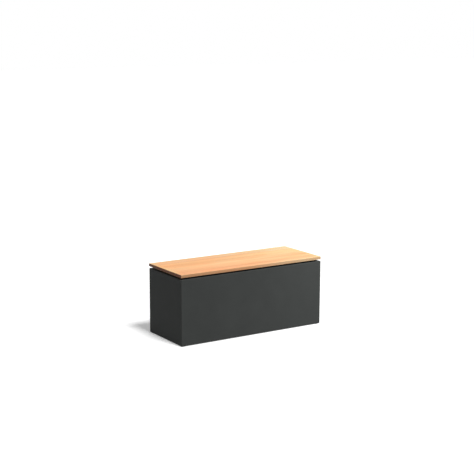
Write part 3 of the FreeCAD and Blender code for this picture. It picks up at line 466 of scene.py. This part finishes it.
def oiled_wood():
    """Light reddish-blond hardwood: long glued staves, oiled, with darker end grain."""
    material, tree, shader = new_material("oiled_wood", specular=0.22)
    point = place(tree, "TexCoord").outputs
    spot = place(tree, "SeparateXYZ", {0: point["Object"]}).outputs
    facing = place(tree, "SeparateXYZ", {0: point["Normal"]}).outputs
    share = calc(tree, "DIVIDE", calc(tree, "SUBTRACT", spot["Y"], BOARD_LOW.y), BOARD_DEPTH)
    card = steps(tree, share, [(stave.start, stave.card) for stave in STAVES])
    grain = apply_group(tree, "grain", Card=card)
    stains = noise(tree, stretched(tree, point["Object"], STAIN_SCALE))

    streak = mix(tree, fade(tree, grain["Streaks"], 0.3, 0.7), DARK_STREAK, PALE_STREAK)
    stain = mix(tree, fade(tree, stains, 0.35, 0.65), RED_STAIN, PALE_STAIN)
    features = [
        (1.0, streak),
        (1.0, stain),
        (calc(tree, "MULTIPLY", grain["Rings"], RING_SHARE), LATE_WOOD),
        (fade(tree, grain["Fibres"], 0.35, 0.7, end=FIBRE_SHARE), FIBRE),
        (calc(tree, "MULTIPLY", grain["Pores"], PORE_SHARE), PORE),
        (calc(tree, "MULTIPLY", glue_lines(tree, share), GLUE_SHARE), GLUE),
        # The painted highlight along the rim of the board.
        (rim_highlight_mask(tree, spot, grain["Streaks"]), PAINTED_RIM_HIGHLIGHT),
        # The painted shade on the board's front and back faces.
        (fade(tree, calc(tree, "ABSOLUTE", facing["Y"]), SIDEWAYS, SQUARE_ON), SHADED_LONG_EDGE),
        (fade(tree, calc(tree, "ABSOLUTE", facing["X"]), SIDEWAYS, SQUARE_ON), END_GRAIN),
    ]
    # The tint carries the painted sheen towards the right end.
    colour = stave_tint(tree, share, spot["X"])
    for mask, factor in features:
        colour = mix(tree, mask, colour, factor, "MULTIPLY")
    # Painted highlight: a pale line along the board's arrises, where the edge mask is.
    arris = calc(tree, "MULTIPLY", apply_group(tree, "wear_and_highlight", Width=WOOD_ARRIS_WIDTH)["Mask"], ARRIS_SHARE)
    height = calc(tree, "SUBTRACT", calc(tree, "MULTIPLY", grain["Fibres"], FIBRE_RISE),
                  calc(tree, "MULTIPLY", grain["Pores"], PORE_DROP))
    feed(tree, shader, Base_Color=mix(tree, arris, colour, ARRIS_HIGHLIGHT),
         Roughness=fade(tree, grain["Rings"], 0.0, 1.0, *WOOD_ROUGH),
         Normal=bumped(tree, height, WOOD_RELIEF, strength=0.7))
    return material


def plated_steel(name, colour, rough):
    """Zinc-plated steel: cloudy, with faint drawing lines and brighter edges."""
    material, tree, shader = new_material(name, specular=0.5, metallic=1.0)
    lines = apply_group(tree, "drawn", Lines=1800.0)
    wear_and_highlight = apply_group(tree, "wear_and_highlight", Width=PLATING_WEAR)["Mask"]
    cloudy = mix(tree, fade(tree, lines["Tone"], 0.3, 0.7), scaled(colour, PLATING_DULL), colour)
    feed(tree, shader, Base_Color=mix(tree, wear_and_highlight, cloudy, scaled(colour, PLATING_BRIGHT)),
         Roughness=fade(tree, lines["Tone"], 0.25, 0.75, *rough),
         Normal=bumped(tree, lines["Height"], PLATING_RELIEF, strength=0.6))
    return material


def sealing_rubber():
    """Black extruded rubber with a faint bloom."""
    material, tree, shader = new_material("sealing_rubber", specular=0.35)
    lines = apply_group(tree, "drawn", Lines=700.0)
    bloom = fade(tree, lines["Tone"], 0.45, 0.8)
    feed(tree, shader, Base_Color=mix(tree, bloom, BLACK_RUBBER, BLOOMED_RUBBER),
         Roughness=fade(tree, lines["Tone"], 0.3, 0.8, *RUBBER_ROUGH),
         Normal=bumped(tree, lines["Height"], RUBBER_RELIEF, strength=0.5))
    return material


def moulded_plastic(name, colour, rough):
    """Moulded plastic with a fine spark-eroded skin and shinier rubbed edges."""
    material, tree, shader = new_material(name, specular=0.45)
    skin = apply_group(tree, "pebbles", Size=0.0004)
    wear_and_highlight = apply_group(tree, "wear_and_highlight", Width=PLASTIC_WEAR)["Mask"]
    cloudy = fade(tree, skin["Tone"], 0.35, 0.8, end=0.5)
    tone = calc(tree, "MULTIPLY_ADD", wear_and_highlight, PLASTIC_WORN_SHARE, cloudy)
    feed(tree, shader, Base_Color=mix(tree, tone, colour, scaled(colour, PLASTIC_LIGHT, BLACK_LIFT)),
         Roughness=fade(tree, wear_and_highlight, 0.0, 1.0, *rough),
         Normal=bumped(tree, skin["Height"], PLASTIC_RELIEF, strength=0.6))
    return material


def gloss_paint(name, colour):
    """Semi-gloss paint on a drawn tube."""
    material, tree, shader = new_material(name, specular=0.5)
    coat = apply_group(tree, "pebbles", Size=0.003)
    wear_and_highlight = apply_group(tree, "wear_and_highlight", Width=GLOSS_WEAR)["Mask"]
    feed(tree, shader, Base_Color=mix(tree, wear_and_highlight, colour, scaled(colour, GLOSS_LIGHT, BLACK_LIFT)),
         Roughness=fade(tree, coat["Tone"], 0.3, 0.75, *GLOSS_ROUGH),
         Normal=bumped(tree, coat["Height"], GLOSS_RELIEF, strength=0.5))
    return material


def hard_chrome():
    """Ground and chromed rod with a film of oil."""
    material, tree, shader = new_material("hard_chrome", specular=0.5, metallic=1.0)
    film = apply_group(tree, "pebbles", Size=0.002)
    oiled = fade(tree, film["Tone"], 0.3, 0.8)
    feed(tree, shader, Base_Color=mix(tree, oiled, BRIGHT_CHROME, OILED_CHROME),
         Roughness=fade(tree, film["Tone"], 0.3, 0.75, *CHROME_ROUGH),
         Normal=bumped(tree, film["Height"], CHROME_RELIEF, strength=0.3))
    return material


FINISHES = {
    "body_paint": powder_coat("anthracite_coat", to_linear(64, 66, 65), to_linear(88, 90, 89)),
    "lid_wood": oiled_wood(),
    "frame_black": powder_coat("black_frame_coat", to_linear(34, 34, 34), to_linear(90, 90, 90),
                               size=0.0008),
    "seal_rubber": sealing_rubber(),
    "hinge_steel": plated_steel("plated_hinge", to_linear(176, 178, 178), rough=(0.28, 0.50)),
    "fastener_steel": plated_steel("plated_fastener", to_linear(192, 194, 192), rough=(0.20, 0.42)),
    "bracket_black": powder_coat("black_bracket_coat", to_linear(38, 38, 38), to_linear(96, 96, 96),
                                 size=0.0009),
    "strut_black": gloss_paint("barrel_gloss", to_linear(26, 26, 27)),
    "socket_plastic": moulded_plastic("socket_nylon", to_linear(34, 34, 35), rough=(0.50, 0.35)),
    "strut_rod": hard_chrome(),
    "strut_inner": moulded_plastic("natural_plastic", to_linear(222, 220, 208), rough=(0.45, 0.30)),
    "foot_plastic": moulded_plastic("glide_plastic", to_linear(30, 30, 31), rough=(0.55, 0.40)),
}


def add_bar(radius, low, high, sides=ROUND_SIDES, tip=None):
    """A round or many-sided bar along Z; the tip is the radius at its upper end."""
    deselect()
    end = radius if tip is None else tip
    bpy.ops.mesh.primitive_cone_add(vertices=sides, radius1=radius, radius2=end, depth=high - low,
                                    location=(0, 0, (low + high) / 2), rotation=(0, 0, HEXAGON_TURN))
    bpy.ops.object.transform_apply()
    return bpy.context.object


def pick(parts, test):
    """Select, in edit mode, the faces or edges that pass a test."""
    bpy.ops.object.mode_set(mode="EDIT")
    bpy.ops.mesh.select_mode(type="FACE" if parts == "faces" else "EDGE")
    bpy.ops.mesh.select_all(action="DESELECT")
    shape = bmesh.from_edit_mesh(bpy.context.object.data)
    for item in getattr(shape, parts):
        item.select_set(test(item))
    bmesh.update_edit_mesh(bpy.context.object.data)


def end_face(side):
    """A test for the flat end of a bar: side is 1 for the upper end and -1 for the lower."""
    return lambda face: face.normal.z * side > NEARLY_FLAT


def rim_at(level):
    """A test for the edges that lie at a level."""
    return lambda edge: all(abs(vertex.co.z - level) < SAME_POINT for vertex in edge.verts)


def combine(body, other, operation):
    """Cut away, join or overlap with another shape, which is used up."""
    deselect()
    body.select_set(True)
    bpy.context.view_layer.objects.active = body
    modifier = body.modifiers.new(operation.lower(), "BOOLEAN")
    modifier.operation = operation
    modifier.object = other
    bpy.ops.object.modifier_apply(modifier=modifier.name)
    bpy.data.objects.remove(other)


def add_thread(width, pitch, low, high):
    """A bar with a rolled thread: two sides of a triangle wound round Z, its ends cut flat."""
    deselect()
    reach = pitch / math.sqrt(3)
    crest = width / 2
    bpy.ops.mesh.primitive_circle_add(vertices=3, radius=reach, fill_type="NOTHING",
                                      location=(crest - reach, 0, low - pitch),
                                      rotation=(0, -math.pi / 2, -math.pi / 2))
    bpy.ops.object.transform_apply()
    bar = bpy.context.object
    pick("edges", lambda edge: all(vertex.co.x < crest - reach for vertex in edge.verts))
    bpy.ops.mesh.delete(type="EDGE")
    bpy.ops.mesh.select_all(action="SELECT")
    bpy.ops.transform.resize(value=(THREAD_DEPTH_SHARE, 1, 1), center_override=(crest, 0, 0))
    bpy.ops.object.mode_set(mode="OBJECT")
    winding = bar.modifiers.new("winding", "SCREW")
    winding.screw_offset = pitch
    winding.iterations = math.ceil((high - low) / pitch) + SPARE_TURNS
    winding.steps = winding.render_steps = THREAD_STEPS
    bpy.ops.object.modifier_apply(modifier=winding.name)
    bpy.ops.object.mode_set(mode="EDIT")
    bpy.ops.mesh.select_all(action="SELECT")
    bpy.ops.mesh.remove_doubles(threshold=WINDING_GAP)
    for level, side in ((low, -1), (high, 1)):
        bpy.ops.mesh.select_all(action="SELECT")
        bpy.ops.mesh.bisect(plane_co=(0, 0, level), plane_no=(0, 0, side), use_fill=True,
                            clear_outer=True, threshold=SAME_POINT)
    bpy.ops.mesh.select_all(action="SELECT")
    bpy.ops.mesh.normals_make_consistent(inside=False)
    bpy.ops.object.mode_set(mode="OBJECT")
    return bar


def cut_cross(screw, span, depth):
    """Sink a tapered cross recess into a head whose face is at the top."""
    for turn in (0, math.pi / 2):
        deselect()
        bpy.ops.mesh.primitive_cube_add(size=1, location=(0, 0, 0), rotation=(0, 0, turn),
                                        scale=(span, span * CROSS_ARM_SHARE, depth * 2))
        bpy.ops.object.transform_apply()
        arm = bpy.context.object
        pick("faces", end_face(-1))
        bpy.ops.transform.resize(value=(CROSS_TAPER, CROSS_TAPER, 1), center_override=(0, 0, 0))
        combine(screw, arm, "DIFFERENCE")


def cut_hexagon(screw):
    """Sink a hexagon socket into a head whose face is at the top."""
    socket = add_bar(HEX_KEY / math.sqrt(3), -HEX_KEY_DEPTH, HEX_KEY_DEPTH, sides=6)
    combine(screw, socket, "DIFFERENCE")


def wood_screw(width, length, shank_width):
    """A countersunk wood screw with a cross recess, its face at the top."""
    shank = shank_width / 2
    head_depth = width / 2 - shank
    screw = add_bar(shank, -head_depth, 0, tip=width / 2)
    pick("faces", end_face(-1))
    bpy.ops.mesh.extrude_region_move(TRANSFORM_OT_translate={"value": (0, 0, head_depth + shank - length)})
    bpy.ops.mesh.extrude_region_move(TRANSFORM_OT_translate={"value": (0, 0, -shank)})
    bpy.ops.transform.resize(value=(POINT_SHARE, POINT_SHARE, 1), center_override=(0, 0, -length))
    bpy.ops.object.mode_set(mode="OBJECT")
    cut_cross(screw, width * CROSS_SPAN_SHARE, width * CROSS_DEPTH_SHARE)
    return screw


def sunk_bolt(width, length):
    """A countersunk machine screw with a hexagon socket, its face at the top."""
    bolt = add_bar(BOLT_WIDTH / 2 - BOLT_PITCH / 2, BOLT_WIDTH / 2 - width / 2, 0, tip=width / 2)
    combine(bolt, add_thread(BOLT_WIDTH, BOLT_PITCH, -length, -HEX_KEY_DEPTH), "UNION")
    cut_hexagon(bolt)
    return bolt


def button_bolt(width, length):
    """A button-head machine screw with a hexagon socket, its crown at the top."""
    bolt = add_bar(width / 2, -BUTTON_THICK, 0)
    pick("edges", rim_at(0))
    bpy.ops.mesh.bevel(offset=BUTTON_DOME, segments=ROUND_SEGMENTS, affect="EDGES")
    combine(bolt, add_thread(BOLT_WIDTH, BOLT_PITCH, -length, -HEX_KEY_DEPTH), "UNION")
    cut_hexagon(bolt)
    return bolt


def hexagon_nut(flats, bore, thick):
    """A hexagon nut with chamfered corners, its face at the top."""
    corner = flats / math.sqrt(3)
    nut = add_bar(corner, -thick, 0, sides=6)
    barrel = add_bar(corner, NUT_CHAMFER - thick, -NUT_CHAMFER)
    for side in (1, -1):
        pick("faces", end_face(side))
        bpy.ops.mesh.extrude_region_move(TRANSFORM_OT_translate={"value": (0, 0, side * NUT_CHAMFER)})
        bpy.ops.transform.resize(value=(NUT_FACE_SHARE, NUT_FACE_SHARE, 1), center_override=(0, 0, 0))
    combine(nut, barrel, "INTERSECT")
    combine(nut, add_bar(bore / 2, -2 * thick, thick), "DIFFERENCE")
    return nut


def solids_of(node):
    """The lowest and highest corner of each solid of a node, in a steady order."""
    shape = bmesh.new()
    shape.from_mesh(NODES[node].data)
    bmesh.ops.remove_doubles(shape, verts=shape.verts, dist=SAME_POINT)
    unseen = set(shape.verts)
    boxes = []
    while unseen:
        to_visit = [unseen.pop()]
        corners = []
        while to_visit:
            vertex = to_visit.pop()
            corners.append(tuple(vertex.co))
            near = {edge.other_vert(vertex) for edge in vertex.link_edges} & unseen
            unseen -= near
            to_visit.extend(near)
        boxes.append((tuple(map(min, zip(*corners))), tuple(map(max, zip(*corners)))))
    shape.free()
    return [(Vector(low), Vector(high)) for low, high in sorted(boxes)]


def finish_piece(piece, name, body, nodes, slot):
    """Name a piece, smooth it, give it its finish and hang it on its body."""
    deselect()
    piece.select_set(True)
    bpy.context.view_layer.objects.active = piece
    bpy.ops.object.shade_smooth_by_angle(angle=FLAT_ANGLE)
    piece.name = name
    piece.data.name = name
    piece.data.materials.clear()
    piece.data.materials.append(FINISHES[slot])
    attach(piece, body)
    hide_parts(*nodes)


def set_out(pattern, facing, name, body, node):
    """Copy a fastener to each solid of a node, its face where that solid ends."""
    turn = facing.to_track_quat("Z", "Y").to_matrix().to_4x4()
    copies = []
    for low, high in solids_of(node):
        face = (low + high) / 2 + facing * abs((high - low).dot(facing)) / 2
        copy = bpy.data.objects.new(name, pattern.data.copy())
        bpy.context.collection.objects.link(copy)
        copy.data.transform(Matrix.Translation(face) @ turn)
        copies.append(copy)
    bpy.data.objects.remove(pattern)
    deselect()
    for copy in copies:
        copy.select_set(True)
    bpy.context.view_layer.objects.active = copies[0]
    if len(copies) > 1:
        bpy.ops.object.join()
    finish_piece(copies[0], name, body, [node], "fastener_steel")


def solid_size(node):
    """The size of the first solid of a node."""
    low, high = solids_of(node)[0]
    return high - low


def drive_wood_screws():
    """The screws that hold the lid frame, the lid brackets and the hinge leaves to the board."""
    shanks = {"lid_frame_screws": WOOD_SHANK, "bracket_screws": WOOD_SHANK, "hinge_lid_screws": BOLT_WIDTH}
    for node, shank in shanks.items():
        size = solid_size(node)
        set_out(wood_screw(size.x, size.z, shank), DOWN, f"{node}_crossed", "lid", node)


def drive_bolts():
    """The machine screws of the hinges and the back, and the weld studs."""
    size = solid_size("hinge_body_screws")
    set_out(sunk_bolt(size.x, size.z), UP, "hinge_body_bolts", "box", "hinge_body_screws")
    size = solid_size("back_panel_screws")
    set_out(button_bolt(size.x, size.y), REAR, "back_panel_bolts", "box", "back_panel_screws")
    size = solid_size("bracket_weld_studs")
    stud = add_thread(BOLT_WIDTH, BOLT_PITCH, -size.x, 0)
    set_out(stud, ALONG, "threaded_weld_studs", "box", "bracket_weld_studs")


def turn_nuts():
    """All nuts, with chamfered corners."""
    for node, facing in (("back_panel_nuts", REAR), ("hinge_body_nuts", UP), ("bracket_nuts", ALONG)):
        size = solid_size(node)
        flats = min(size.x, size.y) if facing == UP else size.z
        nut = hexagon_nut(flats, BOLT_BORE, abs(size.dot(facing)))
        set_out(nut, facing, f"{node}_chamfered", "box", node)
    size = solid_size("foot_nuts")
    set_out(hexagon_nut(size.y, FOOT_BORE, size.z), UP, "foot_nuts_chamfered", "box", "foot_nuts")


def thread_feet():
    """The threaded stud of each levelling foot."""
    for corner in ("front_left", "front_right", "rear_left", "rear_right"):
        node = f"foot_stud_{corner}"
        size = solid_size(node)
        stud = add_thread(size.x, FOOT_PITCH, -size.z, 0)
        set_out(stud, UP, f"{node}_threaded", f"foot_{corner}", node)


def lay_seal():
    """The rubber seal under the lid frame, rounded where the rim presses it."""
    low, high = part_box("lid_seal")
    deselect()
    middle = (low + high) / 2
    bpy.ops.mesh.primitive_plane_add(size=1, location=(middle.x, middle.y, high.z))
    bpy.context.object.scale = (high.x - low.x, high.y - low.y, 1)
    bpy.ops.object.transform_apply()
    seal = bpy.context.object
    pick("faces", end_face(1))
    bpy.ops.mesh.inset(thickness=SEAL_WIDTH)
    bpy.ops.mesh.delete(type="FACE")
    bpy.ops.mesh.select_all(action="SELECT")
    bpy.ops.mesh.extrude_region_move(TRANSFORM_OT_translate={"value": (0, 0, low.z - high.z)})
    bpy.ops.mesh.select_all(action="SELECT")
    bpy.ops.mesh.normals_make_consistent(inside=False)
    long_sides = rim_at(low.z)
    pick("edges", lambda edge: long_sides(edge) and any(face.normal.z == 0 for face in edge.link_faces))
    bpy.ops.mesh.bevel(offset=SEAL_ROUND, segments=ROUND_SEGMENTS, affect="EDGES")
    bpy.ops.object.mode_set(mode="OBJECT")
    finish_piece(seal, "rounded_seal", "lid", ["lid_seal"], "seal_rubber")


def dress_nodes():
    """Give each CAD node the finish of its material slot."""
    for part in frame["record"]["subparts"]:
        node = NODES[part["node"]]
        for slot in node.material_slots:
            slot.material = FINISHES[part["material_slot"]]


def by_view(tree, plain, seen_value):
    """One value for the camera, for mirrors and for glass, and a plain one for other light."""
    path = place(tree, "LightPath").outputs
    seen = calc(tree, "MAXIMUM", path["Is Camera Ray"],
                calc(tree, "MAXIMUM", path["Is Glossy Ray"], path["Is Transmission Ray"]))
    return calc(tree, "MULTIPLY_ADD", seen, seen_value - plain, plain)


def light_world():
    """Even soft light from all round, in front of a white background."""
    world = bpy.data.worlds.new("studio")
    bpy.context.scene.world = world
    world.use_nodes = True
    tree = world.node_tree
    background = tree.nodes["Background"]
    background.inputs["Color"].default_value = WHITE
    tree.links.new(by_view(tree, SKY_STRENGTH, SKY_SEEN), background.inputs["Strength"])


def lay_floor():
    """A pale floor that reads as white and keeps the shadow of the box."""
    bpy.ops.mesh.primitive_plane_add(size=FLOOR_SIZE)
    floor = bpy.context.object
    floor.name = "studio_floor"
    material, tree, shader = new_material("pale_floor", specular=0.0)
    tree.links.new(by_view(tree, FLOOR_BOUNCE, FLOOR_SEEN), shader.inputs["Base Color"])
    shader.inputs["Emission Color"].default_value = WHITE
    tree.links.new(by_view(tree, 0.0, FLOOR_GLOW), shader.inputs["Emission Strength"])
    floor.data.materials.append(material)
    deselect()


def hang_sun():
    """The main light."""
    bpy.ops.object.light_add(type="SUN", location=SUN_FROM * SUN_DISTANCE)
    sun = bpy.context.object
    sun.rotation_euler = SUN_FROM.to_track_quat("Z", "Y").to_euler()
    sun.data.energy = SUN_STRENGTH
    sun.data.angle = SUN_WIDTH


def hang_panel(name, middle, aim, size, power):
    """A soft panel light that no surface mirrors."""
    bpy.ops.object.light_add(type="AREA", location=middle)
    panel = bpy.context.object
    panel.name = name
    panel.rotation_euler = (Vector(middle) - Vector(aim)).to_track_quat("Z", "Y").to_euler()
    panel.data.shape = "RECTANGLE"
    panel.data.size, panel.data.size_y = size
    panel.data.energy = power
    panel.visible_camera = False
    panel.visible_glossy = False


def aim_camera():
    """Stand the camera where the photograph was taken."""
    back = Vector((math.sin(CAMERA_AZIMUTH) * math.cos(CAMERA_PITCH),
                   -math.cos(CAMERA_AZIMUTH) * math.cos(CAMERA_PITCH), math.sin(CAMERA_PITCH)))
    turn = (-back).to_track_quat("-Z", "Y") @ Quaternion((0, 0, 1), CAMERA_ROLL)
    across = (ORIGIN_PIXEL[0] - PHOTO_SIDE / 2) * CAMERA_DISTANCE / FOCAL_PIXELS
    down = (ORIGIN_PIXEL[1] - PHOTO_SIDE / 2) * CAMERA_DISTANCE / FOCAL_PIXELS
    bpy.ops.object.camera_add(location=back * CAMERA_DISTANCE + turn @ Vector((-across, down, 0)))
    camera = bpy.context.object
    camera.rotation_mode = "QUATERNION"
    camera.rotation_quaternion = turn
    camera.data.sensor_width = SENSOR_MM
    camera.data.lens = FOCAL_PIXELS / PHOTO_SIDE * SENSOR_MM
    camera.data.clip_end = CAMERA_REACH
    bpy.context.scene.camera = camera


deselect()
dress_nodes()
lay_seal()
drive_wood_screws()
drive_bolts()
turn_nuts()
thread_feet()
light_world()
lay_floor()
hang_sun()
hang_panel("rear_panel", middle=(0.6, 2.6, 0.25), aim=(0.1, 0.2, 0.25), size=(2.0, 0.4), power=14)
hang_panel("right_panel", middle=(1.0, -0.8, 0.92), aim=(0.5, -0.19, 0.4), size=(0.4, 0.4), power=8)
aim_camera()
bpy.context.scene.view_settings.view_transform = "Standard"
